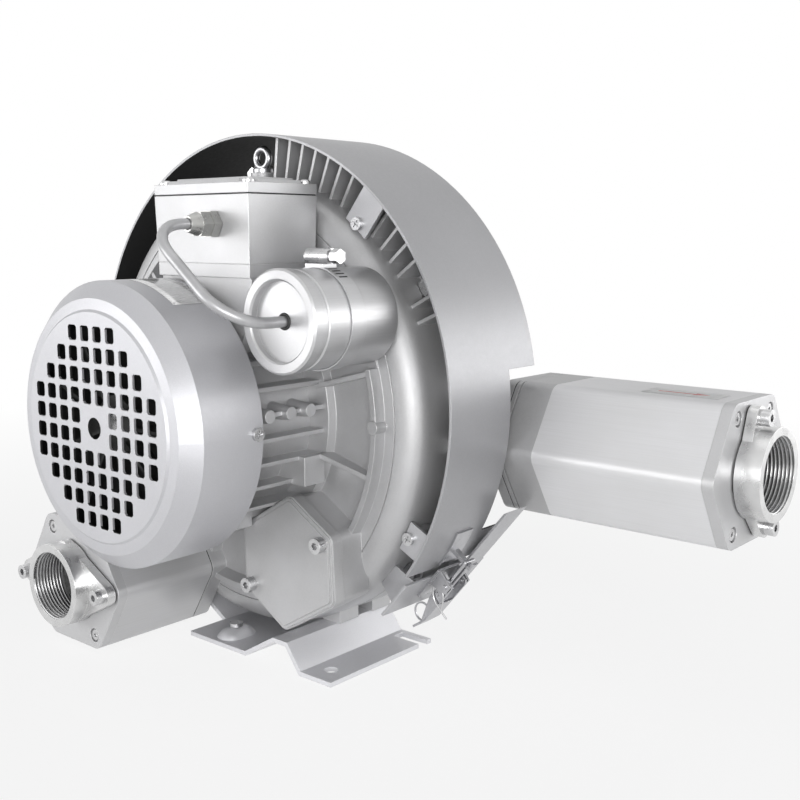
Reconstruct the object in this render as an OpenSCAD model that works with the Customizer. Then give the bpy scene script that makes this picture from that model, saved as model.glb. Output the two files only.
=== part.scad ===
// Two-stage side-channel blower with a shroud band, two silencers and a sheet foot.
// Millimetres, Z up. The shaft runs along Y, the fan cowl faces -Y and the outlet faces +X.
// Y = 0 lies close to the joint of the motor and the blower; Z = 0 is the ground.

/* [Overall] */
// Height of the shaft above the ground
axis_z = 160; // [160:1:170]
// Clearance between fixed pieces that slip into each other
fit = 0.05; // [0.02:0.01:0.1]
// Gap beside the impellers
running_gap = 0.6; // [0.4:0.1:0.8]

/* [Fan cowl] */
// Outer radius of the fan cowl
cowl_r = 86.5; // [86:0.1:87]
// Sheet thickness of the cowl
cowl_wall = 1.6; // [1.2:0.1:1.8]
// Distance of the grille face in front of the joint
cowl_reach = 113; // [110:1:118]
// Spacing of the grille holes
grille_pitch = 12.4; // [12:0.1:12.8]
// Width of one grille hole
grille_hole = 8.6; // [7:0.1:9.4]

/* [Motor] */
// Length of the finned frame
frame_len = 62; // [60:1:62]
// Bore radius of the frame
frame_bore = 58; // [57:0.5:59]
// Radius of the frame body under the fins
frame_r = 68; // [66:0.5:70]
// Radius over the fins
fin_r = 80; // [77:0.5:80]
// Spacing of the frame fins
fin_pitch = 15; // [13:0.5:16]
// Thickness of a frame fin
fin_wall = 2.6; // [2:0.1:3.4]
// Radius of the shaft in the bearings
shaft_r = 8.5; // [8:0.1:9]
// Outer radius of the bearings
bearing_r = 20; // [19:0.5:20.5]
// Width of the bearings
bearing_w = 12; // [11:0.5:12]
// Radius of the rotor core
rotor_r = 34.5; // [33:0.5:36]
// Air gap between rotor and stator
air_gap = 0.5; // [0.4:0.1:1]
// Number of cooling fan blades
fan_blades = 9; // [7:1:11]

/* [Terminal box] */
// Width of the terminal box at its base
box_w = 84; // [80:1:86]
// Depth of the terminal box at its base
box_d = 53; // [50:1:53]
// Height of the terminal box body
box_h = 40; // [36:1:44]

/* [Capacitor] */
// Radius of the capacitor can
can_r = 28.5; // [27:0.5:29]
// Length of the capacitor can
can_len = 62; // [58:1:64]

/* [Blower] */
// Outer radius of the blower housings
housing_r = 150; // [149:0.5:150]
// Wall of the blower housings
housing_wall = 8; // [7:0.5:8.5]
// Radius of the torus shoulder
shoulder_r = 16; // [14:0.5:17]
// Radius of the middle of the side channel
channel_r = 120; // [119:0.5:121]
// Radius of the channel section
channel_minor = 16; // [15:0.5:16.5]
// Number of blades on an impeller
blade_count = 36; // [30:1:40]
// Thickness of the cooling fins on the housings
cooling_fin = 2; // [1.6:0.1:2.4]

/* [Shroud band] */
// Inner radius of the shroud band
band_r = 166.4; // [166:0.1:167]
// Sheet thickness of the band
band_wall = 1.6; // [1.2:0.1:1.8]
// Front edge of the band
band_front = 8; // [7:0.5:9]
// Rear edge of the band
band_rear = 94; // [90:1:98]

/* [Silencers] */
// Half width to the centre of a side lobe
lobe_side = 42; // [41:0.5:43]
// Half width to the centre of a corner lobe
lobe_x = 22; // [21:0.5:22]
// Half height to the centre of a corner lobe
lobe_z = 33; // [32:0.5:33]
// Radius of a lobe
lobe_r = 9; // [8:0.5:9]
// Wall of the silencer bodies
muffler_wall = 4; // [3:0.5:5]
// Length of the intake silencer body
intake_len = 69; // [66:1:69]
// Length of the outlet silencer body
outlet_len = 110; // [90:1:130]
// Wall radius of the threaded ports
thread_r = 22.4; // [21.5:0.1:23]
// Outer radius of the threaded collars
collar_r = 27.5; // [26.5:0.5:28]

/* [Foot] */
// Sheet thickness of the foot
foot_sheet = 3; // [2.5:0.1:3.5]
// Half width over the foot flanges
foot_half = 106; // [100:1:112]
// Radius of the mounting holes
foot_hole = 4.5; // [4:0.1:5]

/* [Latch] */
// Distance from the lever pivot to the bail pivot
bail_arm = 10; // [9.5:0.1:10]
// Radius of the bail wire
wire_r = 1.25; // [1:0.05:1.3]

/* [Fasteners] */
// Shank radius of the housing and foot bolts
bolt_r = 3; // [2.5:0.1:3]
// Shank radius of the socket screws
screw_r = 2.5; // [2:0.1:2.6]
// Radius of the capacitor cable
cable_r = 3.2; // [2.8:0.1:3.4]

/* [Hidden] */
$fn = 64;
joint_y = -2;
frame_y = joint_y - frame_len;
land_y = 24;
rim_y = 50;
rear_y = 52;
back_y = 78;
front_wheel_y = land_y + running_gap;
front_wheel_back = 44;
rear_wheel_y = 58;
rear_wheel_back = back_y - running_gap;
chamber_r = housing_r - housing_wall;
wheel_r = chamber_r - 2;
seam_r = housing_r - shoulder_r;
band_x = 4;
band_z = axis_z + 9;
bolt_circle = housing_r + 4;
bolt_angles = [-40, -5, 32, 56, 98, 135, 172, 235];
fin_angles = [for (a = [24 : 4 : 84]) if (a != 32 && a != 56) a];
bracket_angles = [51, -26.5];
box_x = 31;
box_front = -1 - box_d;
box_z = axis_z + 96;
lid_z = box_z + box_h + 0.8;
gland_at = [43, box_front - 0.5, box_z + 23];
can_at = [112, axis_z + 66];
can_back = 0;
can_front = can_back - can_len;
intake_at = [-73, axis_z - 115];
intake_back = -10;
intake_front = intake_back - intake_len;
cover_at = [68, axis_z - 90];
cover_turn = 31;
cover_pitch = 36.6;
outlet_at = [120, axis_z - 21];
outlet_start = 186;
outlet_front = outlet_start + outlet_len;
outlet_turn = 102;
outlet_pitch = 33.7;
plate_t = 7;
flange_t = 6;
ridge_z = axis_z - 141;
ridge_x = 61;
slope = 50;
sheet_at = [117, axis_z - 120];
latch_y = 45;
pivot = [18, 10];
bail_at = pivot + bail_arm * [cos(190), sin(190)];
bail_end = [38, 8];

// Extrusion along Y of an outline drawn in X and Z
module slab(y0, y1) {
  translate([0, y1, 0]) rotate([90, 0, 0]) linear_extrude(y1 - y0) children();
}

// Extrusion along X of an outline drawn in Y and Z
module slab_x(x0, x1) {
  translate([x0, 0, 0]) rotate([90, 0, 90]) linear_extrude(x1 - x0) children();
}

// Shaft frame: the local Z runs along world Y
module on_axis() {
  translate([0, 0, axis_z]) rotate([-90, 0, 0]) children();
}

module turned(points) {
  on_axis() rotate_extrude() polygon(points);
}

module disc(y0, y1, r) {
  on_axis() translate([0, 0, y0]) cylinder(h = y1 - y0, r = r);
}

module ring(y0, y1, r_out, r_in) {
  difference() {
    disc(y0, y1, r_out);
    disc(y0 - 1, y1 + 1, r_in);
  }
}

// Turn about the shaft, counterclockwise as seen from the cowl
module at_angle(a) {
  translate([0, 0, axis_z]) rotate([0, -a, 0]) children();
}

// Cylinder along Y at a point of the X and Z plane
module rod_y(at, y0, y1, r) {
  translate([at[0], y0, at[1]]) rotate([-90, 0, 0]) cylinder(h = y1 - y0, r = r);
}

function normal(a, b) = let (d = b - a, n = norm(d)) [d[1] / n, -d[0] / n];

// Loop of points rounded outward by one radius
module rounded_loop(p, r) {
  k = len(p);
  polygon([for (i = [0 : k - 1]) each [
    p[i] + (r - 0.02) * normal(p[i], p[(i + 1) % k]),
    p[(i + 1) % k] + (r - 0.02) * normal(p[i], p[(i + 1) % k])]]);
  for (q = p) translate(q) circle(r);
}

// Thick path with mitred corners for bent sheet
function miter(p, i) = let (
    a = normal(p[max(i - 1, 0)], p[max(i, 1)]),
    b = normal(p[min(i, len(p) - 2)], p[min(i + 1, len(p) - 1)]),
    m = a + b) m * 2 / (m * m);

module strip(p, t) {
  n = len(p);
  polygon(concat(
    [for (i = [0 : n - 1]) p[i] + miter(p, i) * t / 2],
    [for (i = [n - 1 : -1 : 0]) p[i] - miter(p, i) * t / 2]));
}

// Six-lobed silencer section
module lobe(grow) {
  rounded_loop([[lobe_side, 0], [lobe_x, lobe_z], [-lobe_x, lobe_z], [-lobe_side, 0],
    [-lobe_x, -lobe_z], [lobe_x, -lobe_z]], lobe_r + grow);
}

module corners() {
  for (x = [-lobe_x, lobe_x]) for (z = [-lobe_z, lobe_z]) translate([x, z]) children();
}

module flange_outline(pitch, r) {
  rounded_loop([[pitch, 0], [0, 21], [-pitch, 0], [0, -21]], r);
}

// Blanked port section
module cover_outline(grow) {
  translate(cover_at) rotate(cover_turn)
    rounded_loop([[38, 0], [22, 30], [-22, 30], [-38, 0], [-22, -30], [22, -30]], 6.5 + grow);
}

module hex_bolt(r, length, head_r, head_h) {
  cylinder(h = head_h, r = head_r, $fn = 6);
  translate([0, 0, -length]) cylinder(h = length + 0.5, r = r);
}

module socket_screw(r, length) {
  difference() {
    cylinder(h = 2 * r + 1, r = 2 * r - 0.2);
    translate([0, 0, 2.4]) cylinder(h = 2 * r, r = r * 0.95, $fn = 6);
  }
  translate([0, 0, -length]) cylinder(h = length + 0.5, r = r);
}

module foot() {
  h = foot_sheet / 2;
  top = ridge_z - h;
  color("silver") difference() {
    union() {
      slab(-25, 72) strip([[-foot_half, h], [-79, h], [-67, top], [-55, top], [-28, h], [28, h],
        [55, top], [67, top], [79, h], [foot_half, h]], foot_sheet);
      difference() {
        dome(11.3);
        translate([-30, -40, -40]) cube([60, 60, 40]);
      }
    }
    for (y = [-12, -9.5]) translate([0, y, -2.3]) sphere(7.5);
    translate([-foot_half - 1, -26, -1]) cube([foot_half - 27, 32, ridge_z + 2]);
    translate([92, -10, -1]) cylinder(h = 9, r = foot_hole);
    translate([-92, 20, -1]) cylinder(h = 9, r = foot_hole);
    for (s = [-1, 1]) translate([s * 98, 63.5, 3]) cube([28, 9, 12], center = true);
    for (x = [-ridge_x, ridge_x]) for (y = [30, 62])
      translate([x, y, ridge_z - 8]) cylinder(h = 12, r = bolt_r + 0.3);
    translate([0, -8, 0]) cylinder(h = 20, r = 2.3);
  }
}

module dome(r) {
  translate([0, -12, -2.3]) rotate([-90, 0, 0]) cylinder(h = 8, r = r);
  translate([0, -12, -2.3]) sphere(r);
  translate([0, -4, -2.3]) sphere(r);
}

module foot_bolts() {
  color("silver") {
    for (x = [-ridge_x, ridge_x]) for (y = [30, 62])
      translate([x, y, ridge_z - foot_sheet]) rotate([180, 0, 0]) hex_bolt(bolt_r, 9.5, 5.6, 4);
    translate([0, -8, 9]) {
      cylinder(h = 2.4, r = 4.5);
      translate([0, 0, -7]) cylinder(h = 7.5, r = 2);
    }
  }
}

module bolted_flange(y0, y1) {
  slab(y0, y1) translate([0, axis_z]) {
    circle(housing_r + 0.6);
    for (a = bolt_angles) rotate(a) translate([bolt_circle, 0]) circle(7.4);
  }
}

module bolt_holes(y0, y1, r) {
  for (a = bolt_angles) at_angle(a) translate([bolt_circle, y0, 0])
    rotate([-90, 0, 0]) cylinder(h = y1 - y0, r = r);
}

module cooling_fins(y0, y1) {
  intersection() {
    union() {
      for (a = fin_angles) at_angle(a)
        translate([housing_r - 2, y0, -cooling_fin / 2]) cube([30, y1 - y0, cooling_fin]);
    }
    translate([band_x, y0 - 1, band_z]) rotate([-90, 0, 0])
      cylinder(h = y1 - y0 + 2, r = band_r - 0.5);
  }
}

module foot_pads(y) {
  for (s = [-1, 1]) translate([s * ridge_x - 9, y - 9, ridge_z]) cube([18, 18, 14]);
}

module front_housing() {
  color("silver") difference() {
    union() {
      on_axis() rotate_extrude() difference() {
        union() {
          polygon([[0, -10], [26, -10], [26, joint_y], [84, joint_y], [86, 3], [seam_r, 3],
            [housing_r, 3 + shoulder_r], [housing_r, rim_y - 4], [0, rim_y - 4]]);
          translate([seam_r, 3 + shoulder_r]) circle(shoulder_r);
        }
        translate([seam_r - 0.8, 2]) square([0.8, 1.8]);
      }
      difference() {
        union() {
          turned([[118, 4], [121.6, -5], [125.4, -5], [126, 4]]);
          for (i = [0 : 11]) at_angle(15 + 30 * i) translate([0, 0, -1.5])
            linear_extrude(3) polygon([[84.6, -8], [122, -4], [122, 4], [84.6, 4]]);
          for (i = [0 : 5]) at_angle(60 * i) translate([123.5, -6, 0]) rotate([-90, 0, 0])
            cylinder(h = 10, r = 4);
        }
        translate([box_x - 50, -12, axis_z + 70]) cube([100, 14, 90]);
        translate([20, -12, axis_z + 40]) cube([55, 14, 32]);
        rod_y(can_at, -12, 2, can_r + 4);
      }
      bolted_flange(39.6, rim_y);
      cooling_fins(20, rim_y - 0.4);
      foot_pads(30);
      for (a = bracket_angles) at_angle(a) translate([housing_r + 3.5, 14.3, 0])
        rotate([-90, 0, 0]) cylinder(h = 16, r = 5.5);
      translate([0, 24, axis_z + housing_r - 4]) cylinder(h = 7, r = 8);
      slab(-14, 8) cover_outline(-1);
      slab(-9, 3.5) translate(intake_at) lobe(0);
      rod_y(intake_at + [0, 5], 0, 20, 27);
    }
    on_axis() rotate_extrude() {
      polygon([[0, land_y], [34, land_y], [34, 6], [96, 6], [96, land_y], [chamber_r, land_y],
        [chamber_r, rim_y + 1], [0, rim_y + 1]]);
      translate([channel_r, land_y]) circle(channel_minor);
    }
    disc(-11, 2, bearing_r);
    disc(1, land_y + 1, 15);
    rod_y(cover_at, -15, 12, 15);
    rod_y(intake_at + [5, 9], -10, 12, 15);
    bolt_holes(33.6, 40, 6.3);
    bolt_holes(39, rim_y + 1, bolt_r + 0.2);
    for (a = bracket_angles) at_angle(a) translate([housing_r + 3.5, 13, 0])
      rotate([-90, 0, 0]) cylinder(h = 15, r = 2 + fit);
    for (s = [-1, 1]) translate([s * ridge_x, 30, ridge_z - 1]) cylinder(h = 8.4, r = bolt_r + fit);
    translate([0, 24, axis_z + housing_r - 6]) cylinder(h = 12, r = 4 + fit);
    for (s = [-1, 1]) rod_y(cover_at + s * cover_pitch * [cos(cover_turn), sin(cover_turn)],
      -15, 4, screw_r + fit);
  }
}

module centre_plate() {
  color("silver") difference() {
    union() {
      turned([[0, 44 + running_gap + 0.4], [chamber_r - 0.3, 44 + running_gap + 0.4],
        [chamber_r - 0.3, 57.6 - running_gap], [0, 57.6 - running_gap]]);
      bolted_flange(rim_y, rear_y);
    }
    disc(40, 62, 15);
    bolt_holes(rim_y - 1, rear_y + 1, bolt_r + 0.2);
  }
}

module rear_housing() {
  color("silver") difference() {
    union() {
      on_axis() rotate_extrude() {
        polygon([[0, rear_y + 4], [housing_r, rear_y + 4], [housing_r, 101 - shoulder_r],
          [seam_r, 101], [106, 101], [90, 90], [34, 90], [32, 97], [0, 97]]);
        translate([seam_r, 101 - shoulder_r]) circle(shoulder_r);
        translate([106, 85]) circle(16);
      }
      for (i = [0 : 7]) at_angle(22.5 + 45 * i) translate([0, 0, -2]) linear_extrude(4)
        polygon([[30, 88], [100, 88], [100, 95], [30, 96.5]]);
      bolted_flange(rear_y, 66);
      cooling_fins(56, 92);
      foot_pads(62);
      rod_y([112, axis_z - 20], 94, 104, 26);
    }
    on_axis() rotate_extrude() {
      polygon([[0, rear_y - 1], [chamber_r, rear_y - 1], [chamber_r, back_y], [96, back_y],
        [96, 84], [16, 84], [16, 94], [0, 94]]);
      translate([channel_r, back_y]) circle(channel_minor);
    }
    rod_y([112, axis_z - 20], 90, 105, 17);
    bolt_holes(rear_y - 1, 64, bolt_r + fit);
    for (s = [-1, 1]) translate([s * ridge_x, 62, ridge_z - 1]) cylinder(h = 8.4, r = bolt_r + fit);
  }
}

module housing_bolts() {
  color("silver") for (a = bolt_angles) at_angle(a) translate([bolt_circle, 40, 0])
    rotate([90, 0, 0]) hex_bolt(bolt_r, 23, 5.6, 6);
}

module lifting_eye() {
  color("silver") translate([0, 24, axis_z + housing_r + 3]) {
    cylinder(h = 2.5, r = 6.5);
    translate([0, 0, -8]) cylinder(h = 9, r = 4);
    translate([0, 0, 9.5]) rotate([90, 0, 0]) rotate_extrude() translate([6, 0]) circle(2.2);
  }
}

module front_impeller() {
  color("silver") {
    difference() {
      turned([[shaft_r + fit, 2], [12.5, 2], [12.5, front_wheel_y], [24, front_wheel_y], [28, 31],
        [98, 31], [102, front_wheel_y], [wheel_r, front_wheel_y], [wheel_r, front_wheel_back],
        [102, front_wheel_back], [98, 38], [28, 38], [24, front_wheel_back],
        [shaft_r + fit, front_wheel_back]]);
      on_axis() rotate_extrude() translate([channel_r, front_wheel_y]) circle(channel_minor - 2);
    }
    for (i = [0 : blade_count - 1]) at_angle(i * 360 / blade_count)
      translate([channel_r - 14.5, front_wheel_y + 0.4, -1]) cube([29, 14.5, 2]);
  }
}

module rear_impeller() {
  color("silver") {
    difference() {
      turned([[shaft_r + fit, rear_wheel_y], [24, rear_wheel_y], [28, 64], [98, 64],
        [102, rear_wheel_y], [wheel_r, rear_wheel_y], [wheel_r, rear_wheel_back],
        [102, rear_wheel_back], [98, 71], [28, 71], [24, 80], [shaft_r + fit, 80]]);
      on_axis() rotate_extrude() translate([channel_r, rear_wheel_back]) circle(channel_minor - 2);
    }
    for (i = [0 : blade_count - 1]) at_angle(i * 360 / blade_count)
      translate([channel_r - 14.5, rear_wheel_back - 14.9, -1]) cube([29, 14.5, 2]);
  }
}

module impeller_spacer() {
  color("silver") ring(front_wheel_back, rear_wheel_y, 13, shaft_r + fit);
}

module impeller_nut() {
  color("silver") difference() {
    on_axis() translate([0, 0, 80]) cylinder(h = 8, r = 10.4, $fn = 6);
    disc(79, 89, 6 + fit);
  }
}

module shaft_seals() {
  color("dimgray") {
    ring(8, 16, 15, 12.5 + 0.1);
    ring(47, 55, 15, 13 + 0.1);
  }
}

module motor_shaft() {
  color("silver") turned([[0, -98], [7, -98], [7, -80], [shaft_r, -80], [shaft_r, -64], [11, -64],
    [11, -10], [shaft_r, -10], [shaft_r, 79], [6, 79], [6, 93], [0, 93]]);
}

module rotor_core() {
  color("gray") turned([[11 + fit, -48], [24, -48], [24, -53], [33, -53], [33, -48],
    [rotor_r, -48], [rotor_r, -14], [33, -14], [33, -11], [24, -11], [24, -14], [11 + fit, -14]]);
}

module bearing_outer(y0) {
  difference() {
    ring(y0, y0 + bearing_w, bearing_r - fit, bearing_r - 3);
    on_axis() translate([0, 0, y0 + bearing_w / 2]) rotate_extrude()
      translate([(bearing_r + shaft_r) / 2, 0]) circle(3.7);
  }
}

module bearing_inner(y0) {
  mid = (bearing_r + shaft_r) / 2;
  difference() {
    ring(y0, y0 + bearing_w, shaft_r + 4, shaft_r + fit);
    on_axis() translate([0, 0, y0 + bearing_w / 2]) rotate_extrude() translate([mid, 0]) circle(3.2);
  }
  for (i = [0 : 7]) at_angle(45 * i) translate([mid, y0 + bearing_w / 2, 0]) sphere(3.4);
}

module drive_bearing() {
  color("silver") bearing_outer(-10);
}

module drive_bearing_inner() {
  color("silver") bearing_inner(-10);
}

module fan_bearing() {
  color("silver") bearing_outer(-64 - bearing_w);
}

module fan_bearing_inner() {
  color("silver") bearing_inner(-64 - bearing_w);
}

module stator_core() {
  color("gray") ring(-48, -14, frame_bore - fit, rotor_r + air_gap);
}

module stator_windings() {
  color("peru") {
    turned([[38, -58], [52, -58], [54, -55], [54, -48.1], [38, -48.1]]);
    turned([[38, -13.9], [54, -13.9], [54, -8], [52, -6], [38, -6]]);
  }
}

module motor_frame() {
  color("silver") difference() {
    union() {
      disc(frame_y, joint_y, frame_r);
      intersection() {
        disc(frame_y, joint_y, fin_r);
        union() {
          for (k = [-4 : 3]) translate([-90, frame_y, axis_z + 8 + k * fin_pitch - fin_wall / 2])
            cube([180, frame_len, fin_wall]);
          for (k = [-2.5 : 2.5]) translate([k * fin_pitch - fin_wall / 2, frame_y, axis_z - 90])
            cube([fin_wall, frame_len, 60]);
        }
      }
      for (y = [-50, -33, -17]) translate([frame_r - 4, y, axis_z + 8]) rotate([0, 90, 0])
        cylinder(h = 20, r1 = 5.6, r2 = 4);
      translate([58, -21, axis_z - 39]) cube([24, 17, 18]);
      slab(-52, joint_y) polygon([[-10, axis_z + 96], [-10, axis_z + 50], [30, axis_z + 40],
        [60, axis_z + 44], [72, axis_z + 68], [72, axis_z + 96]]);
      translate([box_x - box_w / 2, box_front, axis_z + 88]) cube([box_w, box_d - 1, 8]);
      for (a = [0, 180, 270]) at_angle(a) translate([frame_r - 1, -63, 0]) rotate([0, 90, 0])
        cylinder(h = cowl_r - cowl_wall - 0.3 - frame_r + 1, r = 4.5);
    }
    disc(frame_y - 1, joint_y + 1, frame_bore);
    slab(-26, joint_y + 1) cover_outline(0.5);
    translate([16, -40, axis_z + 40]) cube([28, 26, 60]);
    for (a = [0, 180, 270]) at_angle(a) translate([frame_r + 6, -63, 0]) rotate([0, 90, 0])
      cylinder(h = 20, r = 2 + fit);
  }
}

module fan_end_shield() {
  color("silver") difference() {
    union() {
      disc(frame_y - 6, frame_y, frame_r - 2);
      disc(frame_y - 2, frame_y + 2.5, frame_bore - 0.1);
      disc(-78, frame_y + 2, bearing_r + 6);
    }
    disc(-64 - bearing_w, frame_y + 3, bearing_r);
    disc(-79, frame_y, 10);
    for (i = [0 : 5]) at_angle(60 * i + 30) translate([42, 0, 0]) rotate([90, 0, 0])
      translate([0, 0, 50]) cylinder(h = 30, r = 8);
  }
}

module cooling_fan() {
  color("dimgray") difference() {
    union() {
      disc(-98, -86, 18);
      disc(-87, -85, 64);
      for (i = [0 : fan_blades - 1]) at_angle(i * 360 / fan_blades) translate([14, -100, -1])
        cube([60, 14, 2]);
    }
    disc(-101, -80, 7 + fit);
  }
}

module fan_cowl() {
  f = -cowl_reach;
  color("silver") difference() {
    turned([[0, f], [68.5, f], [70, f + 1.4], [76.5, f + 2], [cowl_r, f + 11.5], [cowl_r, -58],
      [cowl_r - cowl_wall, -58], [cowl_r - cowl_wall, f + 12.2], [75.8, f + 2 + cowl_wall],
      [69.4, f + 1.4 + cowl_wall], [68, f + cowl_wall], [0, f + cowl_wall]]);
    slab(f - 1, f + cowl_wall + 1) translate([0, axis_z]) grille();
    for (a = [0, 180, 270]) at_angle(a) translate([cowl_r - 8, -63, 0]) rotate([0, 90, 0])
      cylinder(h = 12, r = 2.3);
  }
}

module grille() {
  w = grille_hole / 2;
  h = w + 0.3;
  counts = [5, 5, 4, 3, 2];
  for (i = [0 : 4]) for (j = [0 : counts[i] - 1]) if (i + j > 0)
    for (s = [-1, 1]) for (t = [-1, 1])
      translate([s * (j + 0.5) * grille_pitch, t * (i + 0.5) * grille_pitch])
        polygon([[w, h - 1.3], [w - 1.3, h], [1.3 - w, h], [-w, h - 1.3],
          [-w, 1.3 - h], [1.3 - w, -h], [w - 1.3, -h], [w, 1.3 - h]]);
  circle(6.5);
}

module cowl_screws() {
  color("silver") for (a = [0, 180, 270]) at_angle(a) translate([cowl_r, -63, 0])
    rotate([0, 90, 0]) difference() {
      union() {
        cylinder(h = 2.4, r = 4);
        translate([0, 0, -9]) cylinder(h = 9.5, r = 2);
      }
      for (b = [0, 90]) rotate([0, 0, b]) translate([-0.5, -2.4, 1.4]) cube([1, 4.8, 2]);
    }
}

// Drafted block between two heights, wider at the top by the given amount
module drafted(x0, x1, y0, y1, z0, z1, grow) {
  intersection() {
    slab(y0 - 5, y1 + 5) polygon([[x0, z0], [x1, z0], [x1 + grow, z1], [x0 - grow, z1]]);
    slab_x(x0 - 5, x1 + 5) polygon([[y0, z0], [y1, z0], [y1 + grow, z1], [y0 - grow, z1]]);
  }
}

module box_corners() {
  for (x = [box_x - box_w / 2 + 4, box_x + box_w / 2 - 4]) for (y = [box_front + 4, -5])
    translate([x, y, 0]) children();
}

module terminal_box() {
  x0 = box_x - box_w / 2;
  x1 = box_x + box_w / 2;
  color("silver") difference() {
    drafted(x0, x1, box_front, -1, box_z, box_z + box_h, 1);
    difference() {
      drafted(x0 + 3, x1 - 3, box_front + 3, -4, box_z + 4, box_z + box_h + 1, 1);
      box_corners() cylinder(h = box_z + box_h + 2, r = 5.5);
    }
    box_corners() translate([0, 0, box_z + box_h - 10]) cylinder(h = 12, r = 2 + fit);
    translate([16, -40, box_z - 1]) cube([28, 26, 8]);
    translate([gland_at[0], box_front + 5, gland_at[2]]) rotate([90, 0, 0]) cylinder(h = 10, r = 6.2);
  }
}

module lid_gasket() {
  x0 = box_x - box_w / 2;
  x1 = box_x + box_w / 2;
  color("dimgray") difference() {
    translate([x0 - 0.5, box_front - 0.5, box_z + box_h]) cube([box_w + 1, box_d + 1, 0.8]);
    translate([x0 + 9.5, box_front + 9.5, box_z]) cube([box_w - 19, box_d - 19, 90]);
    box_corners() translate([0, 0, box_z]) cylinder(h = 90, r = 2.2);
  }
}

module terminal_lid() {
  x0 = box_x - box_w / 2;
  x1 = box_x + box_w / 2;
  color("silver") difference() {
    union() {
      translate([x0 - 1, box_front - 1, lid_z]) cube([box_w + 2, box_d + 2, 6]);
      drafted(x0 + 8, x1 - 8, box_front + 8, -9, lid_z + 5.5, lid_z + 9.5, -1.2);
      drafted(x0 + 9, x1 - 9, box_front + 1, -2, lid_z + 5.5, lid_z + 8, -1);
      drafted(x0 + 1, x1 - 1, box_front + 9, -10, lid_z + 5.5, lid_z + 8, -1);
    }
    translate([x0 + 4, box_front + 10, lid_z - 1]) cube([box_w - 8, box_d - 20, 5]);
    box_corners() translate([0, 0, lid_z - 1]) cylinder(h = 20, r = 2.3);
  }
}

module lid_screws() {
  color("silver") box_corners() translate([0, 0, lid_z + 6]) difference() {
    union() {
      cylinder(h = 1.4, r = 3.8);
      translate([0, 0, 1]) cylinder(h = 1.6, r1 = 3.8, r2 = 2.4);
      translate([0, 0, -15]) cylinder(h = 15.5, r = 2);
    }
    for (b = [0, 90]) rotate([0, 0, b]) translate([-0.5, -2.2, 1.4]) cube([1, 4.4, 2]);
  }
}

module terminal_block() {
  color("dimgray") difference() {
    translate([box_x - 20, -46, box_z + 4]) cube([9, 34, 14]);
    for (y = [-42, -36, -30, -24, -18]) translate([box_x - 15.5, y + 1, box_z + 10])
      cylinder(h = 20, r = 2);
  }
}

module cable_gland() {
  color("silver") difference() {
    translate(gland_at) rotate([90, 0, 0]) {
      translate([0, 0, 0.35]) cylinder(h = 5.65, r = 8.6, $fn = 6);
      translate([0, 0, -7]) cylinder(h = 8, r = 6);
      translate([0, 0, 5]) cylinder(h = 7, r = 6);
    }
    translate(gland_at + [0, 10, 0]) rotate([90, 0, 0]) cylinder(h = 40, r = cable_r + 0.3);
  }
}

module gland_nut() {
  color("silver") difference() {
    translate(gland_at + [0, -6, 0]) rotate([90, 0, 0]) {
      cylinder(h = 7, r = 8, $fn = 6);
      translate([0, 0, 6.5]) cylinder(h = 7, r1 = 7, r2 = 4.6);
    }
    translate(gland_at + [0, -5, 0]) rotate([90, 0, 0]) cylinder(h = 7.3, r = 6 + fit);
    translate(gland_at) rotate([90, 0, 0]) cylinder(h = 40, r = cable_r + 0.3);
  }
}

// Cable route from the gland mouth to the cap of the capacitor
route = [[43, -19.5, 119], [43, -30, 119], [44, -41, 117.5], [52, -48, 112.5], [65, -50, 106],
  [80, -48, 96], [94, -43, 85], [104, -33, 76], [109, -22, 69], [111, -14, 66.5], [112, -10, 66]];
route_shift = [0, box_front, axis_z];
route_count = len(route);
route_end = [can_at[0], can_front - 2, can_at[1]];
function stop(i) = i >= route_count - 1 ? route_end : route[i] + route_shift;
function spline(i, t) = let (
    a = stop(max(i - 1, 0)), b = stop(i), c = stop(i + 1), d = stop(min(i + 2, route_count - 1)))
  0.5 * (2 * b + t * (c - a) + t * t * (2 * a - 5 * b + 4 * c - d) + t * t * t * (3 * b - a - 3 * c + d));
cable_line = concat([for (i = [0 : route_count - 2]) for (k = [0 : 1]) spline(i, k / 2)],
  [stop(route_count - 1)]);
function along(p, i) = let (n = len(p), d = p[min(i + 1, n - 1)] - p[max(i - 1, 0)]) d / norm(d);
function ring_points(p, i, r, sides) = let (
    d = i == 0 || i == len(p) - 1 ? [0, i == 0 ? -1 : 1, 0] : along(p, i),
    s = cross(d, [0, 0, 1]), u = s / norm(s), v = cross(u, d))
  [for (k = [0 : sides - 1]) p[i] + r * (cos(k * 360 / sides) * u + sin(k * 360 / sides) * v)];

module capacitor_cable() {
  sides = 10;
  n = len(cable_line);
  points = [for (i = [0 : n - 1]) each ring_points(cable_line, i, cable_r, sides)];
  color("black") polyhedron(points = points, faces = concat(
    [[for (k = [0 : sides - 1]) k]],
    [for (i = [0 : n - 2]) for (k = [0 : sides - 1]) let (
        a = i * sides + k, b = i * sides + (k + 1) % sides) each
      [[a, a + sides, b + sides], [a, b + sides, b]]],
    [[for (k = [sides - 1 : -1 : 0]) (n - 1) * sides + k]]));
}

module can_turned(points) {
  translate([can_at[0], 0, can_at[1]]) rotate([-90, 0, 0]) rotate_extrude() polygon(points);
}

module capacitor_can() {
  f = can_front;
  color("silver") can_turned([[can_r - 1.2, f], [can_r, f], [can_r, f + 3], [can_r - 0.8, f + 3.6],
    [can_r - 0.8, f + 4.4], [can_r, f + 5], [can_r, can_back - 2], [can_r - 2, can_back], [0, can_back],
    [0, can_back - 1.2], [can_r - 2.6, can_back - 1.2], [can_r - 1.2, can_back - 2.6],
    [can_r - 1.2, f + 7], [can_r - 2.2, f + 5.6], [can_r - 2.2, f + 2.6], [can_r - 1.2, f + 1.4]]);
}

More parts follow.
